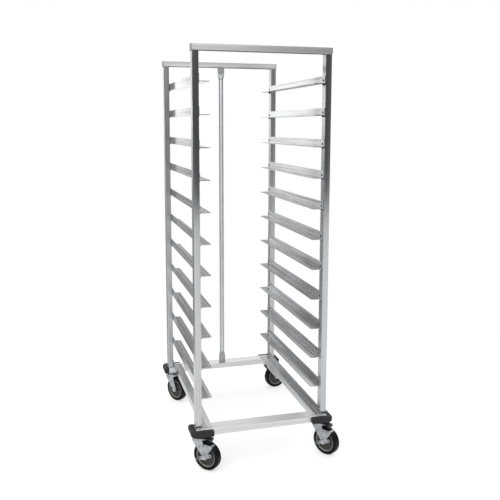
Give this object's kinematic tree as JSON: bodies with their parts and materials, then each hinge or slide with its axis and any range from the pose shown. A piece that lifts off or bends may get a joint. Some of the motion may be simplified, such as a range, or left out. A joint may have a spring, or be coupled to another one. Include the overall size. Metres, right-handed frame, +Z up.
{
  "type": "sheet pan rack",
  "caption": "Tall open aluminium rack on swivel casters, end loaded, with paired L-shaped slides for flat pans, a rear stop bar and rubber corner bumpers.",
  "frame": {"origin": "on the floor, below the middle of the overall footprint with the casters as they stand; the middle of the tube frame is 27 mm to the left of it and 17 mm behind it", "axes": "+Z up, +Y from the open front to the stop bar at the back, +X to the right seen from the front"},
  "size_m": [0.6679, 0.8783, 1.711],
  "materials": {
    "tube": "mill finish, drawn lengthways",
    "slide": "mill finish, drawn lengthways",
    "stop_bar": "mill finish",
    "rivet": "satin",
    "end_cap": "satin",
    "bumper": "matt, moulded",
    "caster_steel": "bright zinc plate",
    "brake_steel": "bright zinc plate",
    "fastener": "zinc plate",
    "tyre": "smooth black rubber",
    "wheel_core": "moulded, dark grey"
  },
  "bodies": {
    "root": {"front_left_upright": "tube", "front_right_upright": "tube", "rear_left_upright": "tube", "rear_right_upright": "tube", "front_top_crossbar": "tube", "rear_top_crossbar": "tube", "front_base_crossbar": "tube", "rear_base_crossbar": "tube", "left_slide_01": "slide", "left_slide_02": "slide", "left_slide_03": "slide", "left_slide_04": "slide", "left_slide_05": "slide", "left_slide_06": "slide", "left_slide_07": "slide", "left_slide_08": "slide", "left_slide_09": "slide", "left_slide_10": "slide", "left_slide_11": "slide", "left_slide_12": "slide", "right_slide_01": "slide", "right_slide_02": "slide", "right_slide_03": "slide", "right_slide_04": "slide", "right_slide_05": "slide", "right_slide_06": "slide", "right_slide_07": "slide", "right_slide_08": "slide", "right_slide_09": "slide", "right_slide_10": "slide", "right_slide_11": "slide", "right_slide_12": "slide", "rear_stop_bar": "stop_bar", "rivets": "rivet", "end_caps": "end_cap", "front_left_bumper": "bumper", "front_right_bumper": "bumper", "rear_left_bumper": "bumper", "rear_right_bumper": "bumper", "caster_plates": "caster_steel", "kingpins": "fastener", "plate_bolts": "fastener"},
    "front_left_swivel": {"front_left_fork": "caster_steel", "front_left_axle": "fastener"},
    "front_left_wheel_body": {"front_left_tyre": "tyre", "front_left_wheel": "wheel_core"},
    "front_left_brake": {"front_left_brake_lever": "brake_steel"},
    "front_right_swivel": {"front_right_fork": "caster_steel", "front_right_axle": "fastener"},
    "front_right_wheel_body": {"front_right_tyre": "tyre", "front_right_wheel": "wheel_core"},
    "front_right_brake": {"front_right_brake_lever": "brake_steel"},
    "rear_left_swivel": {"rear_left_fork": "caster_steel", "rear_left_axle": "fastener"},
    "rear_left_wheel_body": {"rear_left_tyre": "tyre", "rear_left_wheel": "wheel_core"},
    "rear_right_swivel": {"rear_right_fork": "caster_steel", "rear_right_axle": "fastener"},
    "rear_right_wheel_body": {"rear_right_tyre": "tyre", "rear_right_wheel": "wheel_core"}
  },
  "joints": [
    {"name": "front_left_swivel_turn", "type": "hinge", "parent": "root", "child": "front_left_swivel", "pos_m": [-0.291, -0.35095, 0.1366], "axis": [0, 0, 1], "continuous": true},
    {"name": "front_left_wheel_roll", "type": "hinge", "parent": "front_left_swivel", "child": "front_left_wheel_body", "pos_m": [-0.2653, -0.37757, 0.06], "axis": [0.7193, 0.6947, 0], "continuous": true},
    {"name": "front_left_brake_press", "type": "hinge", "parent": "front_left_swivel", "child": "front_left_brake", "pos_m": [-0.2653, -0.37757, 0.06], "axis": [-0.7193, -0.6947, 0], "range_deg": [0, 18]},
    {"name": "front_right_swivel_turn", "type": "hinge", "parent": "root", "child": "front_right_swivel", "pos_m": [0.237, -0.35095, 0.1366], "axis": [0, 0, 1], "continuous": true},
    {"name": "front_right_wheel_roll", "type": "hinge", "parent": "front_right_swivel", "child": "front_right_wheel_body", "pos_m": [0.25661, -0.38233, 0.06], "axis": [0.848, 0.5299, 0], "continuous": true},
    {"name": "front_right_brake_press", "type": "hinge", "parent": "front_right_swivel", "child": "front_right_brake", "pos_m": [0.25661, -0.38233, 0.06], "axis": [-0.848, -0.5299, 0], "range_deg": [0, 18]},
    {"name": "rear_left_swivel_turn", "type": "hinge", "parent": "root", "child": "rear_left_swivel", "pos_m": [-0.291, 0.38495, 0.1366], "axis": [0, 0, 1], "continuous": true},
    {"name": "rear_left_wheel_roll", "type": "hinge", "parent": "rear_left_swivel", "child": "rear_left_wheel_body", "pos_m": [-0.27031, 0.35428, 0.06], "axis": [0.829, 0.5592, 0], "continuous": true},
    {"name": "rear_right_swivel_turn", "type": "hinge", "parent": "root", "child": "rear_right_swivel", "pos_m": [0.237, 0.38495, 0.1366], "axis": [0, 0, 1], "continuous": true},
    {"name": "rear_right_wheel_roll", "type": "hinge", "parent": "rear_right_swivel", "child": "rear_right_wheel_body", "pos_m": [0.27305, 0.39327, 0.06], "axis": [-0.225, 0.9744, 0], "continuous": true}
  ]
}
